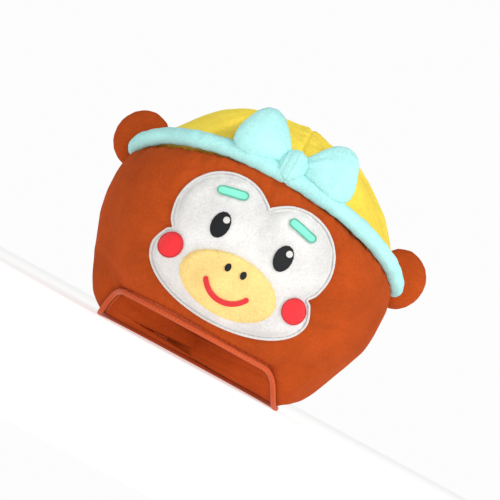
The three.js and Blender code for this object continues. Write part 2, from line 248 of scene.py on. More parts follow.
def lumps(points, size, seed):
    """Soft uneven stuffing, as a sum of waves in several directions, between about -1 and 1."""
    random = np.random.default_rng(seed)
    total = np.zeros(len(points))
    for _ in range(7):
        direction = random.normal(size=3)
        direction /= np.linalg.norm(direction)
        length = size * random.uniform(0.7, 1.6)
        phase = random.uniform(0, 2 * math.pi)
        total += np.sin(2 * math.pi * points @ direction / length + phase)
    return total / 3.5


def azimuth_of(points):
    """Angle round the hat's axis, where 0 is the front and a right angle is the wearer's left."""
    return np.arctan2(points[:, 0], -(points[:, 1] - AXIS_Y))


def radial(azimuth):
    return Vector((math.sin(azimuth), -math.cos(azimuth), 0.0))


def edge_height(node, columns, highest):
    """Function from azimuth to the height of a node's outer edge, with its corners rounded."""
    points = points_of(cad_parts[node])
    azimuth = azimuth_of(points)
    reach = np.hypot(points[:, 0], points[:, 1] - AXIS_Y)
    step = 2 * math.pi / columns
    column = np.round(azimuth / step).astype(int) % columns
    heights = []
    for index in range(columns):
        here = column == index
        outer = here & (reach > 0.9 * reach[here].max())
        heights.append(points[outer, 2].max() if highest else points[outer, 2].min())
    fine = np.arange(16 * columns) * step / 16
    curve = np.interp(fine, np.arange(columns) * step, heights, period=2 * math.pi)
    for _ in range(70):
        curve = 0.5 * curve + 0.25 * (np.roll(curve, 1) + np.roll(curve, -1))
    return lambda turned: np.interp(turned, fine, curve, period=2 * math.pi)


FRAME_COLUMNS = 48
PLAN_SQUARENESS = 2.35
rim_height = edge_height("rim_hem", FRAME_COLUMNS, highest=True)
seam_height = edge_height("crown", FRAME_COLUMNS, highest=False)


def outline_of(node):
    """Outline of a felt node on the face, as an ordered closed loop of points on its front edge."""
    piece = copy_of_node(node, "outline")
    mesh = piece.data
    sides = {}
    for polygon in mesh.polygons:
        upright = abs(polygon.normal.y) < 0.05
        front = polygon.normal.y < -0.2
        for key in polygon.edge_keys:
            sides.setdefault(key, set()).add("side" if upright else "front" if front else "back")
    links = {}
    for (a, b), kinds in sides.items():
        if kinds == {"side", "front"}:
            links.setdefault(a, []).append(b)
            links.setdefault(b, []).append(a)
    start = next(iter(links))
    loop = [start]
    while True:
        nexts = [v for v in links[loop[-1]] if v not in loop[-2:]]
        if not nexts or nexts[0] == start:
            break
        loop.append(nexts[0])
    points = np.array([mesh.vertices[v].co[:] for v in loop])
    bpy.data.objects.remove(piece)
    return points


def even_loop(points, spacing, rounds=6):
    """Closed loop with even steps and its corners smoothed."""
    closed = np.vstack([points, points[:1]])
    steps = np.linalg.norm(np.diff(closed, axis=0), axis=1)
    along = np.concatenate([[0], np.cumsum(steps)])
    count = max(12, int(round(along[-1] / spacing)))
    places = np.arange(count) * along[-1] / count
    loop = np.column_stack([np.interp(places, along, closed[:, i]) for i in range(3)])
    for _ in range(rounds):
        loop = 0.5 * loop + 0.25 * (np.roll(loop, 1, axis=0) + np.roll(loop, -1, axis=0))
    return loop


def smooth_outline(node, spacing):
    """A felt node's outline as a smooth closed loop through the corners of its solid."""
    corners = outline_of(node)
    before = corners - np.roll(corners, 1, axis=0)
    after = np.roll(corners, -1, axis=0) - corners
    turn = np.arctan2(before[:, 0], before[:, 2]) - np.arctan2(after[:, 0], after[:, 2])
    corners = corners[np.abs(np.sin(turn)) > 0.05]
    before, here = np.roll(corners, 1, axis=0), corners
    there, after = np.roll(corners, -1, axis=0), np.roll(corners, -2, axis=0)
    steps = np.arange(8)[:, None, None] / 8
    curve = (
        2 * here
        + (there - before) * steps
        + (2 * before - 5 * here + 4 * there - after) * steps**2
        + (3 * here - before - 3 * there + after) * steps**3
    ) / 2
    return even_loop(curve.transpose(1, 0, 2).reshape(-1, 3), spacing, rounds=8)


def near_loop(points, loop, flat=False):
    """Distance from each point to a loop, or in the face's plane alone."""
    keep = np.array([1.0, 0.0 if flat else 1.0, 1.0])
    tree = KDTree(len(loop))
    for index, point in enumerate(loop * keep):
        tree.insert(point, index)
    tree.balance()
    return np.array([tree.find(point)[2] for point in points * keep])


def puff(piece, pinned, pressure, slack, reach):
    """Stuffs a piece: its cloth is cut a little large, held at its seams and pressed out from inside."""
    scene = bpy.context.scene
    before = points_of(piece)
    pins = piece.vertex_groups.new(name="seams")
    for weight in np.unique(pinned):
        if weight > 0:
            pins.add(np.flatnonzero(pinned == weight).tolist(), float(weight), "REPLACE")
    cloth = piece.modifiers.new("Cloth", "CLOTH")
    settings = cloth.settings
    settings.quality = 4
    settings.mass = 0.2
    settings.tension_stiffness = 12
    settings.compression_stiffness = 12
    settings.shear_stiffness = 4
    settings.bending_stiffness = 0.4
    settings.shrink_min = -slack
    settings.use_pressure = True
    settings.uniform_pressure_force = pressure
    settings.effector_weights.gravity = 0
    settings.vertex_group_mass = pins.name
    cloth.collision_settings.use_collision = False
    cloth.point_cache.frame_start = 1
    cloth.point_cache.frame_end = 20
    for number in range(1, 21):
        scene.frame_set(number)
    graph = bpy.context.evaluated_depsgraph_get()
    after = points_of(piece.evaluated_get(graph))
    piece.modifiers.remove(cloth)
    piece.vertex_groups.clear()
    scene.frame_set(1)
    shift = after - before
    length = np.linalg.norm(shift, axis=1)
    limit = reach * np.tanh(length / reach) / np.maximum(length, 1e-9)
    set_points(piece, before + shift * limit[:, None])


def smooth_but(piece, kept, rounds):
    """Rounds a piece's corners as sewn cloth has them, except for the points that are kept."""
    before = points_of(piece)
    apply_modifier(piece, "SMOOTH", factor=0.5, iterations=rounds)
    set_points(piece, np.where(kept[:, None], before, points_of(piece)))


def move_outwards(piece, distances):
    """Moves points level, away from the hat's axis."""
    points = points_of(piece)
    azimuth = azimuth_of(points)
    away = np.column_stack([np.sin(azimuth), -np.cos(azimuth), np.zeros(len(points))])
    set_points(piece, points + away * np.asarray(distances)[:, None])


# Slack folds in the hood's plush: where each starts and ends, round the hat in degrees and up in
# millimetres, its width and its depth
SLACK_FOLDS = (
    ((-58, 52), (-34, 92), 9, -1.6),
    ((-70, 96), (-48, 60), 12, -1.3),
    ((-88, 60), (-62, 38), 9, 1.2),
    ((34, 58), (52, 96), 10, -1.4),
    ((58, 44), (84, 70), 12, -1.3),
    ((66, 112), (92, 96), 14, 1.2),
    ((-30, 176), (-44, 150), 8, -1.0),
    ((28, 178), (44, 148), 9, -1.0),
    ((118, 60), (150, 92), 12, -1.3),
    ((-150, 50), (-122, 96), 12, -1.4),
    ((172, 150), (186, 100), 14, -1.0),
    ((205, 160), (222, 120), 11, 1.1),
)


def slack_folds(points):
    """Depth of the slack folds, in millimetres, at points of the hood."""
    along = azimuth_of(points) * MEAN_RADIUS
    around = 2 * math.pi * MEAN_RADIUS
    total = np.zeros(len(points))
    for (turn_a, lift_a), (turn_b, lift_b), width, depth in SLACK_FOLDS:
        start = np.array([math.radians(turn_a) * MEAN_RADIUS, lift_a * MM])
        run = np.array([math.radians(turn_b) * MEAN_RADIUS, lift_b * MM]) - start
        across = (along - start[0] + around / 2) % around - around / 2
        up = points[:, 2] - start[1]
        share = np.clip((across * run[0] + up * run[1]) / (run @ run), 0.0, 1.0)
        gap = np.hypot(across - share * run[0], up - share * run[1])
        fade = 0.35 + 0.65 * np.sin(np.pi * np.clip(share, 0.0, 1.0))
        total += depth * fade * np.exp(-((gap / (width * MM)) ** 2))
    return total


def subdivide(piece, levels=1):
    apply_modifier(piece, "SUBSURF", levels=levels, render_levels=levels)


def sphere_grid(name, columns, rows, place):
    """A ball whose points are taken to a place given by their azimuth and row, pole to pole."""
    bpy.ops.object.select_all(action="DESELECT")
    bpy.ops.mesh.primitive_uv_sphere_add(segments=columns, ring_count=rows, radius=1.0)
    piece = bpy.context.active_object
    piece.name = name
    points = points_of(piece)
    row = np.round((0.5 - np.arcsin(np.clip(points[:, 2], -1, 1)) / math.pi) * rows).astype(int)
    azimuth = np.arctan2(points[:, 0], -points[:, 1])
    placed = [place(a, int(r)) for a, r in zip(azimuth, row)]
    set_points(piece, [p[:] for p in placed])
    face_outwards(piece)
    return piece, row


def applique(name, loop, under, columns, rows, profile):
    """A closed sheet of felt or plush of an outline, laid on a surface, its front raised by a profile."""
    centre = (loop.min(axis=0) + loop.max(axis=0)) / 2
    angles = np.arctan2(loop[:, 0] - centre[0], loop[:, 2] - centre[2])
    reaches = np.hypot(loop[:, 0] - centre[0], loop[:, 2] - centre[2])
    order = np.argsort(angles)
    back_rows = 5

    def place(azimuth, row):
        on_front = row <= rows
        share = row / rows if on_front else 1 - (row - rows) / back_rows
        share = math.sin(share * math.pi / 2) ** 0.8
        reach = share * float(np.interp(azimuth, angles[order], reaches[order], period=2 * math.pi))
        x = centre[0] + reach * math.sin(azimuth)
        z = centre[2] + reach * math.cos(azimuth)
        depth = front_depth(under, x, z)
        lift = profile(share) if on_front else 0.0
        return Vector((x, depth - lift - 0.1 * MM, z))

    return sphere_grid(name, columns, rows + back_rows, place)


def cast_inwards(surface, azimuth, z):
    """Point of a surface's outside at an azimuth and height, looked for above and below if it isn't there."""
    out = radial(azimuth)
    for step in range(24):
        height = z + (step // 2 if step % 2 else -step // 2) * MM
        origin = Vector((0.0, AXIS_Y, height)) + out * 0.5
        hit = surface.ray_cast(origin, -out)[0]
        if hit is not None:
            return Vector((hit.x, hit.y, z))
    raise RuntimeError(f"no outside at {math.degrees(azimuth):.0f} degrees, {z:.3f} m up")


def cast_outwards(surface, azimuth, z, lift):
    """Point of the hollow's wall towards an azimuth and a height angle, looked for above if it isn't there."""
    out = radial(azimuth) * math.cos(lift) + Vector((0.0, 0.0, math.sin(lift)))
    for step in range(16):
        hit = surface.ray_cast(Vector((0.0, AXIS_Y, z + step * MM)), out)[0]
        if hit is not None:
            return hit
    raise RuntimeError(f"no wall at {math.degrees(azimuth):.0f} degrees, {math.degrees(lift):.0f} up")


def hollow_point(surface, azimuth, lowest, share):
    """Point of the hollow's wall, from its lowest row (share 0) to the top of its dome (share 1)."""
    edge = cast_outwards(surface, azimuth, lowest, 0.0)
    start = math.atan2(lowest - HOLLOW_MIDDLE, math.hypot(edge.x, edge.y - AXIS_Y))
    return cast_outwards(surface, azimuth, HOLLOW_MIDDLE, start + (math.pi / 2 - start) * share)


def finish_piece(piece, material, slot, nodes=()):
    """Gives a piece its material and body, and hides the nodes that it stands for."""
    piece.data.materials.clear()
    piece.data.materials.append(material)
    piece.data.shade_smooth()
    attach(piece, BODY)
    if nodes:
        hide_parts(*nodes)
    return piece


def add_node(tree, kind, inputs=None, **settings):
    """Adds a shader node with its settings, and its inputs as values or as links from other nodes."""
    node = tree.nodes.new(kind)
    for name, value in settings.items():
        setattr(node, name, value)
    for socket, value in (inputs or {}).items():
        if isinstance(value, bpy.types.NodeSocket):
            tree.links.new(value, node.inputs[socket])
        else:
            node.inputs[socket].default_value = value
    return node


def new_material(name):
    material = bpy.data.materials.new(name)
    material.use_nodes = True
    material.node_tree.nodes.clear()
    return material, material.node_tree


def shaded(colour, share):
    """A colour made darker or lighter by a share."""
    return (*[min(1.0, c * share) for c in colour[:3]], 1.0)


def mixed_colour(tree, factor, dark, light, low=0.3, high=0.7):
    """Colour between two tones by a factor, with the ends of the range given."""
    ramp = add_node(tree, "ShaderNodeValToRGB", {"Fac": factor})
    ramp.color_ramp.elements[0].position = low
    ramp.color_ramp.elements[0].color = dark
    ramp.color_ramp.elements[1].position = high
    ramp.color_ramp.elements[1].color = light
    return ramp.outputs["Color"]


def cloth_shader(tree, colour, bump, roughness, sheen, specular, tint=(1.0, 1.0, 1.0, 1.0)):
    """Cloth surface from its colour and bump, with a soft sheen from its fibres."""
    surface = add_node(
        tree,
        "ShaderNodeBsdfPrincipled",
        {
            "Base Color": colour,
            "Normal": bump,
            "Roughness": roughness,
            "Sheen Weight": sheen,
            "Sheen Roughness": 0.45,
            "Sheen Tint": tint,
            "Specular IOR Level": specular,
        },
    )
    add_node(tree, "ShaderNodeOutputMaterial", {"Surface": surface.outputs["BSDF"]})


def short_pile_plush(name, colour, pile=2.4, patch=34.0, depth=0.7, panels=False):
    """Velboa, a brushed polyester plush: matt, with a soft sheen and a pile that lies in brushed patches."""
    material, tree = new_material(name)
    place = add_node(tree, "ShaderNodeTexCoord").outputs["Object"]
    # Patches where the pile is brushed one way or the other, a few centimetres across
    brushed = add_node(tree, "ShaderNodeTexNoise", {"Vector": place, "Scale": 1 / (patch * MM), "Detail": 3.0})
    # Fibre tufts are drawn at about 2 mm, coarser than real ones, so that they show in the picture
    tufts = add_node(
        tree,
        "ShaderNodeTexNoise",
        {"Vector": place, "Scale": 1 / (pile * MM), "Detail": 4.0, "Roughness": 0.62},
    )
    both = add_node(
        tree,
        "ShaderNodeMath",
        {0: brushed.outputs["Fac"], 1: tufts.outputs["Fac"]},
        operation="ADD",
    )
    tone = add_node(tree, "ShaderNodeMath", {0: both.outputs[0], 1: 0.5}, operation="MULTIPLY")
    factor = tone.outputs[0]
    if panels:
        # Painted light: the wearer's right panel, at negative x, is drawn lighter than the left one, as light falling
        # on that side would show it
        side = add_node(tree, "ShaderNodeSeparateXYZ", {"Vector": place}).outputs["X"]
        painted_lit_panel = add_node(tree, "ShaderNodeMath", {0: side, 1: 0.0}, operation="LESS_THAN")
        lift = add_node(tree, "ShaderNodeMath", {0: painted_lit_panel.outputs[0], 1: 0.09}, operation="MULTIPLY")
        factor = add_node(tree, "ShaderNodeMath", {0: factor, 1: lift.outputs[0]}, operation="ADD").outputs[0]
    base = mixed_colour(tree, factor, shaded(colour, 0.8), shaded(colour, 1.13), 0.34, 0.66)
    bump = add_node(
        tree,
        "ShaderNodeBump",
        {"Height": tufts.outputs["Fac"], "Strength": 0.55, "Distance": depth * MM},
    )
    cloth_shader(tree, base, bump.outputs["Normal"], 0.92, 0.3, 0.12, tint=shaded(colour, 1.5))
    return material


def pressed_felt(name, colour):
    """Polyester felt: a dense, matt mat of fine crossed fibres."""
    material, tree = new_material(name)
    place = add_node(tree, "ShaderNodeTexCoord").outputs["Object"]
    fibres = add_node(
        tree,
        "ShaderNodeTexNoise",
        {"Vector": place, "Scale": 1 / (1.6 * MM), "Detail": 5.0, "Roughness": 0.7, "Distortion": 1.2},
    )
    base = mixed_colour(tree, fibres.outputs["Fac"], shaded(colour, 0.84), shaded(colour, 1.08))
    bump = add_node(
        tree,
        "ShaderNodeBump",
        {"Height": fibres.outputs["Fac"], "Strength": 0.4, "Distance": 0.3 * MM},
    )
    cloth_shader(tree, base, bump.outputs["Normal"], 0.95, 0.2, 0.12)
    return material


def satin_stitching(name, colour, period=1.5):
    """Rayon embroidery thread laid side by side: glossy ridges that run across the filled shape."""
    material, tree = new_material(name)
    place = add_node(tree, "ShaderNodeTexCoord").outputs["Object"]
    # Real threads are 0.4 mm apart; they are drawn coarser so that they show
    threads = add_node(
        tree,
        "ShaderNodeTexWave",
        {"Vector": place, "Scale": 1 / (period * MM) / 3.2, "Distortion": 0.6, "Detail": 1.0, "Detail Scale": 1.5},
        wave_type="BANDS",
        bands_direction="Z",
    )
    # Painted shade and light: the colour is drawn darker in the grooves between the threads and lighter on their ridges
    base = mixed_colour(tree, threads.outputs["Fac"], shaded(colour, 0.7), shaded(colour, 1.1), 0.1, 0.8)
    bump = add_node(
        tree,
        "ShaderNodeBump",
        {"Height": threads.outputs["Fac"], "Strength": 0.6, "Distance": 0.25 * MM},
    )
    cloth_shader(tree, base, bump.outputs["Normal"], 0.5, 0.0, 0.25)
    return material


def thread_finish(name, colour):
    """Spun polyester sewing thread: slightly glossy, with the twist as fine uneven shading."""
    material, tree = new_material(name)
    place = add_node(tree, "ShaderNodeTexCoord").outputs["Object"]
    twist = add_node(tree, "ShaderNodeTexNoise", {"Vector": place, "Scale": 1 / (0.8 * MM), "Detail": 2.0})
    base = mixed_colour(tree, twist.outputs["Fac"], shaded(colour, 0.8), shaded(colour, 1.1))
    bump = add_node(
        tree,
        "ShaderNodeBump",
        {"Height": twist.outputs["Fac"], "Strength": 0.4, "Distance": 0.2 * MM},
    )
    cloth_shader(tree, base, bump.outputs["Normal"], 0.55, 0.1, 0.35)
    return material


def satin_weave(name, colour):
    """Polyester satin: smooth, with long floats that give it gloss and fine streaks along the warp."""
    material, tree = new_material(name)
    place = add_node(tree, "ShaderNodeTexCoord").outputs["Object"]
    warp = add_node(tree, "ShaderNodeMapping", {"Vector": place, "Scale": (1.0, 1.0, 0.06)})
    streaks = add_node(
        tree,
        "ShaderNodeTexNoise",
        {"Vector": warp.outputs["Vector"], "Scale": 1 / (1.3 * MM), "Detail": 3.0},
    )
    base = mixed_colour(tree, streaks.outputs["Fac"], shaded(colour, 0.72), shaded(colour, 1.2))
    bump = add_node(
        tree,
        "ShaderNodeBump",
        {"Height": streaks.outputs["Fac"], "Strength": 0.3, "Distance": 0.15 * MM},
    )
    cloth_shader(tree, base, bump.outputs["Normal"], 0.36, 0.15, 0.5)
    return material


def twill_binding(name, colour):
    """Polycotton twill binding: matt, with fine slanted ribs."""
    material, tree = new_material(name)
    place = add_node(tree, "ShaderNodeTexCoord").outputs["Object"]
    slant = add_node(tree, "ShaderNodeMapping", {"Vector": place, "Rotation": (0.6, 0.6, 0.7)})
    ribs = add_node(
        tree,
        "ShaderNodeTexWave",
        {"Vector": slant.outputs["Vector"], "Scale": 1 / (1.4 * MM) / 3.2, "Distortion": 0.8, "Detail": 2.0},
    )
    # Painted shade and light: the colour is drawn darker in the troughs between the ribs and lighter on their crests
    base = mixed_colour(tree, ribs.outputs["Fac"], shaded(colour, 0.78), shaded(colour, 1.12), 0.2, 0.8)
    bump = add_node(
        tree,
        "ShaderNodeBump",
        {"Height": ribs.outputs["Fac"], "Strength": 0.45, "Distance": 0.25 * MM},
    )
    cloth_shader(tree, base, bump.outputs["Normal"], 0.85, 0.2, 0.2)
    return material


def hook_tape_finish(name, colour):
    """Nylon hook-and-loop tape: a dense field of small loops with a dull gloss."""
    material, tree = new_material(name)
    place = add_node(tree, "ShaderNodeTexCoord").outputs["Object"]
    loops = add_node(tree, "ShaderNodeTexVoronoi", {"Vector": place, "Scale": 1 / (1.5 * MM)})
    # Painted shade and light: the colour is drawn dark in the gaps between the loops and light on their tops
    base = mixed_colour(tree, loops.outputs["Distance"], shaded(colour, 1.25), shaded(colour, 0.6), 0.1, 0.8)
    bump = add_node(
        tree,
        "ShaderNodeBump",
        {"Height": loops.outputs["Distance"], "Strength": 0.8, "Distance": 0.5 * MM},
        invert=True,
    )
    cloth_shader(tree, base, bump.outputs["Normal"], 0.6, 0.1, 0.3)
    return material


def stitch_row(name, points, normals, length, thickness, material, slot):
    """A row of lock stitches: short rounded threads along a path, each sunk at its ends."""
    bpy.ops.object.select_all(action="DESELECT")
    bpy.ops.mesh.primitive_uv_sphere_add(segments=8, ring_count=6, radius=0.5)
    one = bpy.context.active_object
    shape = points_of(one)
    faces = [list(polygon.vertices) for polygon in one.data.polygons]
    bpy.data.objects.remove(one)
    all_points, all_faces = [], []
    for here, there, up in zip(points, np.roll(points, -1, axis=0), normals):
        along = there - here
        along = along / max(np.linalg.norm(along), 1e-9)
        across = np.cross(up, along)
        across /= max(np.linalg.norm(across), 1e-9)
        lift = np.cross(along, across)
        axes = np.array([across * thickness, along * length, lift * thickness])
        offset = len(all_points) * len(shape)
        all_points.append(here + shape[:, [1, 2, 0]] @ axes)
        all_faces += [[v + offset for v in face] for face in faces]
    mesh = bpy.data.meshes.new(name)
    mesh.from_pydata(np.vstack(all_points).tolist(), [], all_faces)
    piece = bpy.data.objects.new(name, mesh)
    bpy.context.scene.collection.objects.link(piece)
    face_outwards(piece)
    return finish_piece(piece, material, slot)


def edging(name, loop, width, height, material, slot, period=1.7):
    """Satin stitch laid over a felt edge: a low ridge whose threads show as even ribs."""
    curve = bpy.data.curves.new(name, "CURVE")
    curve.dimensions = "3D"
    curve.bevel_depth = width / 2
    curve.bevel_resolution = 2
    spline = curve.splines.new("POLY")
    spline.points.add(len(loop) - 1)
    spline.use_cyclic_u = True
    step = np.linalg.norm(np.diff(loop, axis=0), axis=1).mean()
    for index, (point, place) in enumerate(zip(spline.points, loop)):
        point.co = (*place, 1.0)
        point.radius = 1.0 + 0.13 * math.sin(2 * math.pi * index * step / (period * MM))
    piece = bpy.data.objects.new(name, curve)
    bpy.context.scene.collection.objects.link(piece)
    select_only(piece)
    bpy.ops.object.convert(target="MESH")
    piece = bpy.context.active_object
    merge_points(piece)
    points = points_of(piece)
    tree = KDTree(len(loop))
    for index, place in enumerate(loop):
        tree.insert(place, index)
    tree.balance()
    nearest = loop[[tree.find(point)[1] for point in points]]
    points[:, 1] = nearest[:, 1] + (points[:, 1] - nearest[:, 1]) * height / width
    set_points(piece, points)
    face_outwards(piece)
    return finish_piece(piece, material, slot)


class PLUSHHAT_OT_hood(Operator):
    """Brown padded hood, pulled in at the crown seam, the rim and round the face patch"""

    bl_idname = "plush_hat.hood"
    bl_label = "Hood"

    def execute(self, context):
        sizes = context.scene.plush_hat_sizes
        colours = context.scene.plush_hat_colours
        surface = surface_of(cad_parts["hood_shell"])
        hidden_rows, wall_rows, hollow_rows = 5, 58, 12
        rows = hidden_rows + wall_rows + hollow_rows
        centre = Vector((0.0, AXIS_Y, HOOD_HIGH.z - 2 * MM))

        def place(azimuth, row):
            seam = float(seam_height(azimuth)) + 1.0 * MM
            rim = float(rim_height(azimuth)) - 1.5 * MM
            if row <= hidden_rows:
                edge = cast_inwards(surface, azimuth, seam)
                return centre.lerp(edge, row / (hidden_rows + 1))
            if row <= hidden_rows + wall_rows:
                down = (row - hidden_rows - 1) / (wall_rows - 1)
                return cast_inwards(surface, azimuth, seam + (rim - seam) * down)
            inner = (row - hidden_rows - wall_rows - 1) / (hollow_rows - 1)
            return hollow_point(surface, azimuth, rim + 3 * MM, inner)

        piece, row = sphere_grid("hood", 192, rows, place)
        on_wall = (row > hidden_rows) & (row <= hidden_rows + wall_rows)
        smooth_but(piece, row > hidden_rows + wall_rows - 3, rounds=4)
        patch = smooth_outline("face_patch", 3 * MM)
        points = points_of(piece)
        azimuth = azimuth_of(points)
        below_seam = seam_height(azimuth) - points[:, 2]
        above_rim = points[:, 2] - rim_height(azimuth)
        front = points[:, 1] < AXIS_Y - 0.05
        by_patch = np.where(front, near_loop(points, patch, flat=True), 1.0)
        held = ~on_wall | (below_seam < 4 * MM) | (above_rim < 5 * MM)
        pins = np.where(held, 1.0, np.where(by_patch < 3.5 * MM, 0.7, 0.0))
        puff(piece, pins, pressure=2.2, slack=0.035, reach=sizes.swell)
        subdivide(piece)
        points = points_of(piece)
        azimuth = azimuth_of(points)
        along = azimuth * MEAN_RADIUS
        below_seam = np.abs(seam_height(azimuth) - points[:, 2])
        above_rim = np.abs(points[:, 2] - rim_height(azimuth))
        facing = normals_of(piece)
        outside = facing[:, 0] * np.sin(azimuth) - facing[:, 1] * np.cos(azimuth) > 0.0
        front = points[:, 1] < AXIS_Y - 0.05
        by_patch = np.where(front, near_loop(points, patch, flat=True), 1.0)
        gathers = 0.8 * ripple(along, sizes.pucker_period, 1) * np.exp(-below_seam / (16 * MM))
        rim_gathers = 0.8 * ripple(along, 0.8 * sizes.pucker_period, 2) * np.exp(-above_rim / (14 * MM))
        creases = -(sizes.seam_depth / MM) * np.exp(-((below_seam / (3 * MM)) ** 2))
        creases += -1.2 * np.exp(-((above_rim / (3 * MM)) ** 2))
        sewn = -1.4 * np.exp(-((by_patch / (5 * MM)) ** 2)) + 0.6 * np.exp(-(((by_patch - 12 * MM) / (7 * MM)) ** 2))
        height = gathers + rim_gathers + sewn + 1.1 * lumps(points, 0.08, 3) + slack_folds(points)
        move_along_normals(piece, np.where(outside, height, 0.0) * MM)
        move_outwards(piece, np.where(outside, creases, 0.0) * MM)
        finish_piece(piece, short_pile_plush("brown_velboa", colours.brown), "plush_brown", ["hood_shell"])
        return {"FINISHED"}


class PLUSHHAT_OT_crown(Operator):
    """Yellow stuffed crown of two panels, with a seam from front to back"""

    bl_idname = "plush_hat.crown"
    bl_label = "Crown"

    def execute(self, context):
        sizes = context.scene.plush_hat_sizes
        colours = context.scene.plush_hat_colours
        surface = surface_of(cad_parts["crown"])
        dome_rows, hidden_rows = 46, 5
        rows = dome_rows + hidden_rows
        centre = Vector((0.0, AXIS_Y, HOOD_HIGH.z + 2 * MM))
        base_z = CROWN_LOW.z - 20 * MM

        def place(azimuth, row):
            seam = float(seam_height(azimuth)) - 1.0 * MM
            edge = cast_inwards(surface, azimuth, seam)
            if row > dome_rows:
                return edge.lerp(centre, (row - dome_rows) / hidden_rows)
            reach = math.hypot(edge.x, edge.y - AXIS_Y)
            low = math.atan2(edge.z - base_z, reach)
            lift = math.pi / 2 + (low - math.pi / 2) * row / dome_rows
            out = radial(azimuth) * math.cos(lift) + Vector((0.0, 0.0, math.sin(lift)))
            origin = Vector((0.0, AXIS_Y, base_z))
            hit = surface.ray_cast(origin + out * 0.6, -out)[0]
            return edge if hit is None or row == dome_rows else hit

        piece, row = sphere_grid("crown_dome", 192, rows, place)
        apply_modifier(piece, "SMOOTH", factor=0.5, iterations=3)
        points = points_of(piece)
        above_seam = points[:, 2] - seam_height(azimuth_of(points))
        on_centre = np.abs(points[:, 0]) < 2.2 * MM
        held = (row > dome_rows) | (above_seam < 4 * MM)
        pins = np.where(held, 1.0, np.where(on_centre, 0.6, 0.0))
        puff(piece, pins, pressure=2.2, slack=0.03, reach=sizes.swell)
        subdivide(piece)
        points = points_of(piece)
        azimuth = azimuth_of(points)
        along = azimuth * MEAN_RADIUS
        above_seam = np.abs(points[:, 2] - seam_height(azimuth))
        outside = points[:, 2] > seam_height(azimuth) - 3 * MM
        from_centre = np.abs(points[:, 0])
        gathers = 0.9 * ripple(along, sizes.pucker_period, 4) * np.exp(-above_seam / (13 * MM))
        crease = -(sizes.seam_depth / MM) * np.exp(-((above_seam / (3 * MM)) ** 2))
        run = np.arctan2(points[:, 1] - AXIS_Y, points[:, 2] - CROWN_LOW.z) * 0.12
        seam = -1.7 * np.exp(-((from_centre / (2.2 * MM)) ** 2))
        seam += 0.5 * ripple(run, 12 * MM, 5) * np.exp(-from_centre / (7 * MM))
        height = gathers + seam + 0.9 * lumps(points, 0.08, 6)
        move_along_normals(piece, np.where(outside, height, 0.0) * MM)
        move_outwards(piece, np.where(outside, crease, 0.0) * MM)
        # The yellow plush has painted light: its wearer's right panel is drawn lighter than the left
        plush = short_pile_plush("yellow_velboa", colours.yellow, panels=True)
        finish_piece(piece, plush, "plush_yellow", ["crown"])
        return {"FINISHED"}


class PLUSHHAT_OT_headband(Operator):
    """Light blue stuffed roll that lies across the front of the crown"""

    bl_idname = "plush_hat.headband"
    bl_label = "Headband"

    def centre_line(self, radius):
        """Middle of the roll from end to end, from the outermost points of its node."""
        points = points_of(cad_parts["headband"])
        azimuth = azimuth_of(points)
        reach = np.hypot(points[:, 0], points[:, 1] - AXIS_Y)
        line = []
        for angle in np.linspace(azimuth.min(), azimuth.max(), 60):
            near = np.abs(azimuth - angle) < math.radians(3)
            z = (points[near, 2].max() + points[near, 2].min()) / 2
            line.append([angle, reach[near].max() - radius, z])
        line = np.array(line)
        for _ in range(6):
            line[1:-1] = 0.5 * line[1:-1] + 0.25 * (line[:-2] + line[2:])
        ends = np.clip((np.abs(line[:, 0]) - math.radians(50)) / math.radians(25), 0.0, 1.0)
        outwards = line[:, 1] + ends * 3.5 * MM
        x, y = outwards * np.sin(line[:, 0]), AXIS_Y - outwards * np.cos(line[:, 0])
        return np.column_stack([x, y, line[:, 2]])

    def execute(self, context):
        colours = context.scene.plush_hat_colours
        radius = context.scene.plush_hat_sizes.band / 2
        path = self.centre_line(radius)
        steps = np.linalg.norm(np.diff(path, axis=0), axis=1)
        along = np.concatenate([[0.0], np.cumsum(steps)])
        total = along[-1]
        tangents = np.gradient(path, along, axis=0)
        tangents /= np.linalg.norm(tangents, axis=1)[:, None]

        def place(azimuth, row):
            share = row / rows
            run = total * (1 - math.cos(share * math.pi)) / 2 if share in (0, 1) else total * share
            from_end = min(run, total - run)
            full = math.sqrt(max(0.0, 1 - (1 - min(1.0, from_end / (1.5 * radius))) ** 2))
            full *= 0.78 + 0.22 * min(1.0, from_end / (6 * radius))
            centre = Vector([np.interp(run, along, path[:, i]) for i in range(3)])
            ahead = Vector([np.interp(run, along, tangents[:, i]) for i in range(3)]).normalized()
            across = Vector((0.0, 0.0, 1.0)).cross(ahead).normalized()
            up = ahead.cross(across)
            return centre + (across * math.cos(azimuth) + up * math.sin(azimuth)) * radius * full

        rows = 150
        piece, row = sphere_grid("headband_roll", 28, rows, place)
        puff(piece, np.zeros(len(piece.data.vertices)), pressure=1.2, slack=0.01, reach=0.8 * MM)
        subdivide(piece)
        points = points_of(piece)
        turned = azimuth_of(points) * MEAN_RADIUS
        height = 0.4 * ripple(turned, 17 * MM, 7) + 0.35 * lumps(points, 0.03, 8)
        join = -0.9 * np.exp(-((points[:, 0] / (1.4 * MM)) ** 2))
        move_along_normals(piece, (height + join) * MM)
        material = short_pile_plush("light_blue_velboa", colours.blue, pile=1.9)
        finish_piece(piece, material, "plush_blue", ["headband"])
        return {"FINISHED"}


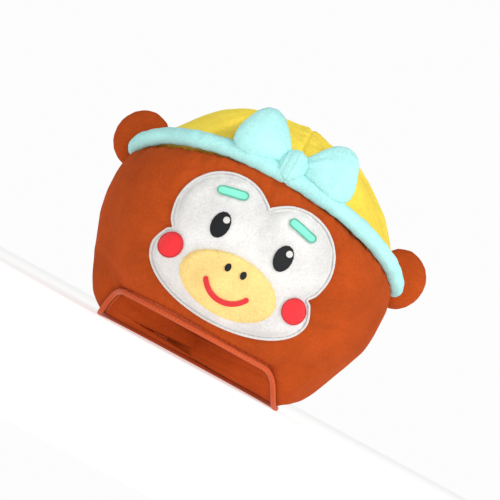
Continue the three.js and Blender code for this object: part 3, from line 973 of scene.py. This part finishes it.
class PLUSHHAT_OT_bow(Operator):
    """Stuffed bow of two pleated loops and a knot"""

    bl_idname = "plush_hat.bow"
    bl_label = "Bow"

    def execute(self, context):
        colours = context.scene.plush_hat_colours
        material = short_pile_plush("light_blue_velboa_bow", colours.blue, pile=1.9)
        knot_low, knot_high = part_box("bow_knot")
        knot = (knot_low + knot_high) / 2
        for side, node in ((-1, "bow_loop_left"), (1, "bow_loop_right")):
            piece = soft_copy(node, f"{node}_stuffed", 1.8, 5)
            low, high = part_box(node)
            puff(piece, np.zeros(len(piece.data.vertices)), pressure=1.5, slack=0.02, reach=1.5 * MM)
            subdivide(piece)
            points = points_of(piece)
            out = np.clip((side * points[:, 0] - side * knot.x) / (high.x - low.x), 0.0, 1.2)
            rise = points[:, 2] - knot.z - 0.35 * np.abs(points[:, 0])
            angle = np.arctan2(rise, np.abs(points[:, 0]) + 4 * MM)
            pleats = -1.5 * (0.5 + 0.5 * np.cos(angle * 13)) * np.exp(-((out / 0.45) ** 2))
            seam = -0.8 * np.exp(-(((points[:, 1] - knot.y) / (1.1 * MM)) ** 2))
            move_along_normals(piece, (0.9 + pleats + seam + 0.3 * lumps(points, 0.03, 9)) * MM)
            finish_piece(piece, material, "plush_blue", [node])
        piece = soft_copy("bow_knot", "bow_knot_stuffed", 1.4, 4)
        subdivide(piece)
        points = points_of(piece)
        folds = 0.5 * ripple(points[:, 0], 5 * MM, 10)
        move_along_normals(piece, (1.2 + folds) * MM)
        finish_piece(piece, material, "plush_blue", ["bow_knot"])
        return {"FINISHED"}


class PLUSHHAT_OT_ears(Operator):
    """Two stuffed round ears with a seam round their edge"""

    bl_idname = "plush_hat.ears"
    bl_label = "Ears"

    def execute(self, context):
        colours = context.scene.plush_hat_colours
        material = short_pile_plush("brown_velboa_ears", colours.brown)
        for side, node in ((-1, "ear_left"), (1, "ear_right")):
            piece = soft_copy(node, f"{node}_stuffed", 2.4, 5)
            low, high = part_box(node)
            middle = (low + high) / 2
            by_head = low.x if side > 0 else high.x
            points = points_of(piece)
            pins = (np.abs(points[:, 0] - by_head) < 9 * MM).astype(float)
            puff(piece, pins, pressure=1.6, slack=0.02, reach=2.0 * MM)
            subdivide(piece)
            points = points_of(piece)
            from_head = np.abs(points[:, 0] - by_head)
            around = np.arctan2(points[:, 2] - middle.z, side * (points[:, 0] - by_head)) * 0.03
            seam = -0.9 * np.exp(-(((points[:, 1] - middle.y) / (1.3 * MM)) ** 2))
            fan = 0.8 * ripple(points[:, 2], 9 * MM, 11) * np.exp(-from_head / (11 * MM))
            rim = 0.3 * ripple(around, 7 * MM, 12) * np.exp(-np.abs(points[:, 1] - middle.y) / (4 * MM))
            move_along_normals(piece, (seam + fan + rim + 0.4 * lumps(points, 0.04, 13)) * MM)
            finish_piece(piece, material, "plush_brown", [node])
        return {"FINISHED"}


FELT_PIECES = (
    ("cheek_left", "red", "felt_red"),
    ("cheek_right", "red", "felt_red"),
    ("brow_left", "mint", "felt_mint"),
    ("brow_right", "mint", "felt_mint"),
)


class PLUSHHAT_OT_face(Operator):
    """White face patch with its edging, felt cheeks and brows with their edgings, and stitched eyes with glints"""

    bl_idname = "plush_hat.face"
    bl_label = "Face"

    def execute(self, context):
        colours = context.scene.plush_hat_colours
        sizes = context.scene.plush_hat_sizes
        hood_before = surface_of(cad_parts["hood_shell"])
        hood_after = surface_of(bpy.data.objects["hood"])
        loop = smooth_outline("face_patch", 0.45 * MM)
        thick = 2.8 * MM
        patch, row = applique(
            "face_patch_plush", loop, hood_after, 260, 46, lambda share: thick * (1 - share**16) ** 0.5
        )
        loop = drape(loop, hood_before, hood_after)
        points = points_of(patch)
        inwards = near_loop(points, loop[::6], flat=True)
        run = np.arctan2(points[:, 0], points[:, 2] - 0.11) * 0.075
        pulled = -0.7 * np.exp(-(((inwards - 3.5 * MM) / (1.6 * MM)) ** 2))
        pulled += 0.35 * ripple(run, 8 * MM, 20) * np.exp(-inwards / (8 * MM)) + 0.3 * lumps(points, 0.045, 14)
        move_along_normals(patch, np.where(row < 45, pulled, 0.0) * MM)
        white = short_pile_plush("white_velboa", colours.white, pile=1.8, depth=0.45)
        finish_piece(patch, white, "felt_white", ["face_patch"])
        white_thread = thread_finish("white_embroidery_thread", shaded(colours.white, 0.93))
        edging("face_patch_edging", loop, sizes.edge_width, 1.6 * MM, white_thread, "felt_white")
        patch_before = surface_of(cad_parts["face_patch"])
        patch_after = surface_of(patch)
        finishes = {
            "red": (pressed_felt("red_felt", colours.red), thread_finish("red_thread", shaded(colours.red, 0.62))),
            "mint": (pressed_felt("mint_felt", colours.mint), thread_finish("teal_thread", shaded(colours.mint, 0.55))),
        }
        for node, colour, slot in FELT_PIECES:
            felt, thread = finishes[colour]
            piece = soft_copy(node, f"{node}_felt", 0.6, 2)
            set_points(piece, drape(points_of(piece), patch_before, patch_after))
            finish_piece(piece, felt, slot, [node])
            loop = even_loop(outline_of(node), 0.4 * MM, rounds=30)
            loop = drape(loop, patch_before, patch_after)
            edging(f"{node}_edging", loop, 1.6 * MM, 1.0 * MM, thread, slot)
        black = satin_stitching("black_satin_stitch", colours.black)
        white_stitch = satin_stitching("white_satin_stitch", colours.white)
        for side in ("left", "right"):
            for node, stitch, slot in ((f"eye_{side}", black, "felt_black"), (f"glint_{side}", white_stitch, "felt_white")):
                piece = soft_copy(node, f"{node}_stitched", 0.45, 3)
                set_points(piece, drape(points_of(piece), patch_before, patch_after))
                finish_piece(piece, stitch, slot, [node])
        return {"FINISHED"}


class PLUSHHAT_OT_muzzle(Operator):
    """Stuffed cream muzzle with a stitched smile and nostrils"""

    bl_idname = "plush_hat.muzzle"
    bl_label = "Muzzle"

    def execute(self, context):
        colours = context.scene.plush_hat_colours
        patch_after = surface_of(bpy.data.objects["face_patch_plush"])
        pad = 10.5 * MM
        piece, row = applique(
            "muzzle_stuffed",
            smooth_outline("muzzle", 1 * MM),
            patch_after,
            120,
            26,
            lambda share: pad * (1 - share**2.4) ** 0.6,
        )
        low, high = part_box("muzzle")
        middle = (low + high) / 2
        points = points_of(piece)
        oval = np.hypot(
            (points[:, 0] - middle.x) / (high.x - low.x),
            (points[:, 2] - middle.z) / (high.z - low.z),
        )
        pins = np.where((row > 26) | (oval > 0.47), 1.0, 0.0)
        puff(piece, pins, pressure=1.6, slack=0.02, reach=1.8 * MM)
        subdivide(piece)
        points = points_of(piece)
        around = np.arctan2(points[:, 2] - middle.z, points[:, 0] - middle.x) * 0.04
        edge = 0.5 - np.hypot(
            (points[:, 0] - middle.x) / (high.x - low.x),
            (points[:, 2] - middle.z) / (high.z - low.z),
        )
        edge = np.maximum(edge, 0.0) * (high.z - low.z)
        front = normals_of(piece)[:, 1] < 0.1
        puckers = 0.55 * ripple(around, 6 * MM, 15) * np.exp(-edge / (5 * MM))
        move_along_normals(piece, np.where(front, puckers + 0.3 * lumps(points, 0.04, 16), 0.0) * MM)
        cream = short_pile_plush("cream_velboa", colours.cream, pile=1.9, depth=0.5)
        finish_piece(piece, cream, "plush_cream", ["muzzle"])
        before = surface_of(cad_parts["muzzle"])
        after = surface_of(piece)
        red = satin_stitching("red_satin_stitch", shaded(colours.red, 0.85))
        black = satin_stitching("black_satin_stitch_nose", colours.black)
        for node, stitch, slot in (
            ("mouth", red, "felt_red"),
            ("nostril_left", black, "felt_black"),
            ("nostril_right", black, "felt_black"),
        ):
            small = soft_copy(node, f"{node}_stitched", 0.45, 3)
            set_points(small, drape(points_of(small), before, after))
            finish_piece(small, stitch, slot, [node])
        return {"FINISHED"}


class PLUSHHAT_OT_lining(Operator):
    """Satin lining of the head hollow, gathered where it meets the rim"""

    bl_idname = "plush_hat.lining"
    bl_label = "Lining"

    def execute(self, context):
        colours = context.scene.plush_hat_colours
        surface = surface_of(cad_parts["lining"])
        rows = 44

        def place(azimuth, row):
            share = min(1.0, 1 - row / (rows - 1))
            return hollow_point(surface, azimuth, float(rim_height(azimuth)) + 1.5 * MM, max(0.0, share))

        piece, row = sphere_grid("lining_satin", 160, rows, place)
        select_only(piece)
        bpy.ops.object.mode_set(mode="EDIT")
        bpy.ops.mesh.select_mode(type="VERT")
        bpy.ops.mesh.select_all(action="DESELECT")
        bpy.ops.object.mode_set(mode="OBJECT")
        for index in np.flatnonzero(row == rows):
            piece.data.vertices[int(index)].select = True
        bpy.ops.object.mode_set(mode="EDIT")
        bpy.ops.mesh.delete(type="VERT")
        bpy.ops.object.mode_set(mode="OBJECT")
        apply_modifier(piece, "SMOOTH", factor=0.5, iterations=2)
        points = points_of(piece)
        azimuth = azimuth_of(points)
        along = azimuth * 0.095
        above_rim = np.maximum(points[:, 2] - rim_height(azimuth), 0.0)
        folds = 1.2 * ripple(along, 17 * MM, 17) * np.exp(-above_rim / (45 * MM))
        folds += 0.7 * ripple(along + 0.4 * points[:, 2], 34 * MM, 18)
        towards = np.column_stack([-np.sin(azimuth), np.cos(azimuth), np.zeros(len(points))])
        ease = np.clip(above_rim / (6 * MM), 0.0, 1.0) * np.clip((0.15 - points[:, 2]) / 0.03, 0.0, 1.0)
        flap_low, flap_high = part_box("closure_flap")
        beside = np.maximum(flap_low.x - points[:, 0], points[:, 0] - flap_high.x)
        above = points[:, 2] - flap_high.z
        clear = np.clip(np.maximum(beside, above) / (12 * MM), 0.0, 1.0)
        ease *= np.where(points[:, 1] > AXIS_Y, clear, 1.0)
        set_points(piece, points + towards * ((1.4 + folds) * ease * MM)[:, None])
        apply_modifier(piece, "SOLIDIFY", thickness=0.6 * MM, offset=1.0)
        finish_piece(piece, satin_weave("polyester_satin", colours.satin), "lining_satin", ["lining"])
        return {"FINISHED"}


class PLUSHHAT_OT_hem(Operator):
    """Rolled hem round the opening and the two rows of stitches above it"""

    bl_idname = "plush_hat.hem"
    bl_label = "Hem"

    def execute(self, context):
        colours = context.scene.plush_hat_colours
        sizes = context.scene.plush_hat_sizes
        columns, sides = 420, 20
        low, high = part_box("rim_hem")
        half_width = (high.x - low.x) / 2
        half_depth = (high.y - low.y) / 2
        thickness, height = 5.6 * MM, 5.0 * MM
        bpy.ops.object.select_all(action="DESELECT")
        bpy.ops.mesh.primitive_torus_add(
            major_segments=columns, minor_segments=sides, major_radius=1.0, minor_radius=0.25
        )
        piece = bpy.context.active_object
        piece.name = "rim_hem_rolled"
        points = points_of(piece)
        azimuth = np.arctan2(points[:, 0], -points[:, 1])
        out = (np.hypot(points[:, 0], points[:, 1]) - 1.0) / 0.25
        up = points[:, 2] / 0.25
        square = (np.abs(out) ** 3 + np.abs(up) ** 3) ** (-1 / 3)
        across = np.abs(np.sin(azimuth) / half_width) ** PLAN_SQUARENESS
        ahead = np.abs(np.cos(azimuth) / half_depth) ** PLAN_SQUARENESS
        outer = (across + ahead) ** (-1 / PLAN_SQUARENESS)
        tucks = 0.25 * MM * ripple(azimuth * 0.1, 6 * MM, 19)
        reach = outer - thickness / 2 + out * square * thickness / 2 + tucks
        z = rim_height(azimuth) - height / 2 + up * square * height / 2
        for share in (-0.36, 0.36):
            row = np.exp(-(((up * square - share) / 0.14) ** 2)) * (out > 0)
            reach -= 0.35 * MM * row
        set_points(piece, np.column_stack([reach * np.sin(azimuth), AXIS_Y - reach * np.cos(azimuth), z]))
        face_outwards(piece)
        finish_piece(piece, twill_binding("twill_binding", colours.hem), "hem_fabric", ["rim_hem"])
        surface = surface_of(piece)
        thread = thread_finish("orange_thread", shaded(colours.hem, 1.35))
        for name, up in (("hem_stitches_low", -0.68), ("hem_stitches_high", -0.32)):
            points, normals = [], []
            count = int(2 * math.pi * 0.105 / (1.25 * sizes.stitch_length))
            for index in range(count):
                azimuth = 2 * math.pi * (index + 0.37) / count
                z = float(rim_height(azimuth)) + up * height
                origin = Vector((0.0, AXIS_Y, z)) + radial(azimuth) * 0.5
                hit, normal, _, _ = surface.ray_cast(origin, -radial(azimuth))
                if hit is None:
                    print("no hood at", math.degrees(azimuth), z)
                    continue
                points.append(hit[:])
                normals.append(normal[:])
            stitch_row(
                name, np.array(points), np.array(normals), sizes.stitch_length, sizes.thread, thread, "hem_fabric"
            )
        return {"FINISHED"}


class PLUSHHAT_OT_closure(Operator):
    """Overlapping tab at the back of the opening, with its stitched hook patch"""

    bl_idname = "plush_hat.closure"
    bl_label = "Closure"

    def execute(self, context):
        colours = context.scene.plush_hat_colours
        sizes = context.scene.plush_hat_sizes
        flap = soft_copy("closure_flap", "closure_flap_cloth", 0.9, 4)
        satin = satin_weave("polyester_satin_flap", shaded(colours.satin, 1.12))
        finish_piece(flap, satin, "lining_satin", ["closure_flap"])
        patch = soft_copy("hook_patch", "hook_patch_tape", 0.7, 2)
        finish_piece(patch, hook_tape_finish("hook_tape", colours.tape), "hook_tape", ["hook_patch"])
        low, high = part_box("hook_patch")
        surface = surface_of(patch)
        inset = 2.2 * MM
        corners = [
            (low.x + inset, low.z + inset),
            (high.x - inset, low.z + inset),
            (high.x - inset, high.z - inset),
            (low.x + inset, high.z - inset),
        ]
        flat = np.array([(x, 0.0, z) for x, z in corners])
        loop = even_loop(flat, sizes.stitch_length * 1.25, rounds=0)
        points, normals = [], []
        for x, _, z in loop:
            hit, normal, _, _ = surface.ray_cast(Vector((x, AXIS_Y, z)), Vector((0.0, 1.0, 0.0)))
            if hit is not None:
                points.append(hit[:])
                normals.append(normal[:])
        thread = thread_finish("patch_thread", shaded(colours.hem, 1.5))
        size = (sizes.stitch_length, sizes.thread)
        stitch_row("hook_patch_stitches", np.array(points), np.array(normals), *size, thread, "hook_tape")
        flap_low, flap_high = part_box("closure_flap")
        surfaces = (surface_of(bpy.data.objects["lining_satin"]), surface_of(flap), surface)
        step = 1.25 * sizes.stitch_length
        for name, lift in (("back_stitches_low", 6.5), ("back_stitches_high", 9.5)):
            points, normals = [], []
            for x in np.arange(-84 * MM, 84 * MM, step):
                spot = self.back_wall(surfaces, x, flap_low.z + lift * MM)
                points.append(spot[0])
                normals.append(spot[1])
            stitch_row(name, np.array(points), np.array(normals), *size, thread, "hem_fabric")
        tack = []
        for lift in np.linspace(5 * MM, 24 * MM, 26):
            tack.append(self.back_wall(surfaces, flap_high.x - 5 * MM, flap_low.z + lift)[0])
        self.add_bar_tack(np.array(tack), thread)
        return {"FINISHED"}

    def back_wall(self, surfaces, x, z):
        """Point and normal of what shows first at the back of the hollow."""
        for step in range(8):
            start = Vector((x, AXIS_Y, z + step * MM))
            hits = [found.ray_cast(start, Vector((0.0, 1.0, 0.0))) for found in surfaces]
            hits = [hit for hit in hits if hit[0] is not None]
            if hits:
                near = min(hits, key=lambda hit: hit[0].y)
                normal = near[1] if near[1].y < 0 else -near[1]
                return near[0][:], normal[:]
        raise RuntimeError(f"no back wall at x {x:.3f}, z {z:.3f} m")

    def add_bar_tack(self, path, thread):
        """Dense upright satin stitches that hold the end of the tab."""
        there_and_back = np.vstack([path, path[::-1] + np.array([0.6 * MM, 0.0, 0.0])])
        edging("closure_bar_tack", there_and_back, 2.6 * MM, 1.6 * MM, thread, "hem_fabric", period=1.4)


PHOTO_PIXELS = 500
PHOTO_HAT_CENTRE = (250, 246)
PHOTO_MM_PER_PIXEL = 1.083
PHOTO_ROLL = math.radians(28.5)
CAMERA_DISTANCE = 0.95
CAMERA_HEIGHT = 21 * MM


class PLUSHHAT_OT_stage(Operator):
    """Pale floor and backdrop, soft studio lights and the camera"""

    bl_idname = "plush_hat.stage"
    bl_label = "Stage"

    def execute(self, context):
        self.add_floor()
        self.add_camera(context)
        self.add_light("key_softbox", (1.0, -1.1, 1.15), 0.8, 15.5)
        self.add_light("fill_softbox", (-1.3, -0.9, 0.8), 1.2, 2.0)
        self.add_light("low_softbox", (0.1, -1.3, 0.16), 0.3, 4.0)
        self.add_world(context)
        context.scene.view_settings.view_transform = "Standard"
        return {"FINISHED"}

    def add_world(self, context):
        """Even soft light from all round, in front of a white backdrop."""
        world = bpy.data.worlds.new("studio")
        world.use_nodes = True
        tree = world.node_tree
        tree.nodes.clear()
        white = (1.0, 1.0, 1.0, 1.0)
        light = add_node(tree, "ShaderNodeBackground", {"Color": white, "Strength": 0.36})
        backdrop = add_node(tree, "ShaderNodeBackground", {"Color": white, "Strength": 0.98})
        seen = add_node(tree, "ShaderNodeLightPath").outputs["Is Camera Ray"]
        mix = add_node(
            tree,
            "ShaderNodeMixShader",
            {0: seen, 1: light.outputs["Background"], 2: backdrop.outputs["Background"]},
        )
        add_node(tree, "ShaderNodeOutputWorld", {"Surface": mix.outputs["Shader"]})
        context.scene.world = world

    def add_floor(self):
        bpy.ops.object.select_all(action="DESELECT")
        bpy.ops.mesh.primitive_plane_add(size=8.0, location=(0.0, 0.0, 0.0))
        floor = bpy.context.active_object
        floor.name = "studio_floor"
        # Opal acrylic of a light table, lit from below as well, which leaves only a soft shadow
        material, tree = new_material("opal_acrylic")
        surface = add_node(
            tree,
            "ShaderNodeBsdfPrincipled",
            {
                "Base Color": linear_colour("#DAD9D8"),
                "Roughness": 0.9,
                "Specular IOR Level": 0.1,
                "Emission Color": (1.0, 1.0, 1.0, 1.0),
                "Emission Strength": 0.62,
            },
        )
        add_node(tree, "ShaderNodeOutputMaterial", {"Surface": surface.outputs["BSDF"]})
        floor.data.materials.append(material)
        floor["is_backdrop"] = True

    def add_camera(self, context):
        low, high = CAD_BOUNDS
        aim = Vector((0.0, AXIS_Y, (low.z + high.z) / 2))
        rise = aim.z - CAMERA_HEIGHT
        run = math.sqrt(CAMERA_DISTANCE**2 - rise**2)
        place = Vector((aim.x, aim.y - run, CAMERA_HEIGHT))
        ahead = (aim - place).normalized()
        right = ahead.cross(Vector((0.0, 0.0, 1.0))).normalized()
        up = right.cross(ahead)
        turned_right = math.cos(PHOTO_ROLL) * right + math.sin(PHOTO_ROLL) * up
        turned_up = math.cos(PHOTO_ROLL) * up - math.sin(PHOTO_ROLL) * right
        camera = bpy.data.cameras.new("photo_camera")
        camera.sensor_width = 36.0
        half_view = PHOTO_PIXELS * PHOTO_MM_PER_PIXEL * MM / 2
        camera.lens = camera.sensor_width / 2 * CAMERA_DISTANCE / half_view
        holder = bpy.data.objects.new("photo_camera", camera)
        context.scene.collection.objects.link(holder)
        shift_x = (PHOTO_PIXELS / 2 - PHOTO_HAT_CENTRE[0]) * PHOTO_MM_PER_PIXEL * MM
        shift_y = (PHOTO_HAT_CENTRE[1] - PHOTO_PIXELS / 2) * PHOTO_MM_PER_PIXEL * MM
        place += turned_right * shift_x + turned_up * shift_y
        rotation = Matrix((turned_right, turned_up, -ahead)).transposed()
        holder.matrix_world = Matrix.Translation(place) @ rotation.to_4x4()
        context.scene.camera = holder

    def add_light(self, name, place, size, power):
        light = bpy.data.lights.new(name, "AREA")
        light.size = size
        light.energy = power
        holder = bpy.data.objects.new(name, light)
        bpy.context.scene.collection.objects.link(holder)
        aim = Vector((0.0, AXIS_Y, HOOD_HIGH.z * 0.7))
        holder.location = place
        holder.rotation_euler = (aim - Vector(place)).to_track_quat("-Z", "Y").to_euler()


class PLUSHHAT_PT_panel(Panel):
    """Lists the hat's pieces and settings in the sidebar"""

    bl_idname = "PLUSHHAT_PT_panel"
    bl_label = "Plush monkey hat"
    bl_space_type = "VIEW_3D"
    bl_region_type = "UI"
    bl_category = "Plush hat"

    def draw(self, context):
        layout = self.layout
        for operator in OPERATORS:
            layout.operator(operator.bl_idname)
        for group in (context.scene.plush_hat_sizes, context.scene.plush_hat_colours):
            for name in group.__annotations__:
                layout.prop(group, name)


OPERATORS = (
    PLUSHHAT_OT_stage,
    PLUSHHAT_OT_hood,
    PLUSHHAT_OT_crown,
    PLUSHHAT_OT_headband,
    PLUSHHAT_OT_bow,
    PLUSHHAT_OT_ears,
    PLUSHHAT_OT_face,
    PLUSHHAT_OT_muzzle,
    PLUSHHAT_OT_lining,
    PLUSHHAT_OT_hem,
    PLUSHHAT_OT_closure,
)
CLASSES = (PlushHatColours, PlushHatSizes, *OPERATORS, PLUSHHAT_PT_panel)
CAD_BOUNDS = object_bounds()


def register():
    for made in CLASSES:
        bpy.utils.register_class(made)
    bpy.types.Scene.plush_hat_colours = PointerProperty(type=PlushHatColours)
    bpy.types.Scene.plush_hat_sizes = PointerProperty(type=PlushHatSizes)


def unregister():
    del bpy.types.Scene.plush_hat_sizes
    del bpy.types.Scene.plush_hat_colours
    for made in reversed(CLASSES):
        bpy.utils.unregister_class(made)


def main():
    register()
    bpy.ops.plush_hat.stage()
    bpy.ops.plush_hat.hood()
    bpy.ops.plush_hat.crown()
    bpy.ops.plush_hat.headband()
    bpy.ops.plush_hat.bow()
    bpy.ops.plush_hat.ears()
    bpy.ops.plush_hat.face()
    bpy.ops.plush_hat.muzzle()
    bpy.ops.plush_hat.lining()
    bpy.ops.plush_hat.hem()
    bpy.ops.plush_hat.closure()


if __name__ == "__main__":
    main()
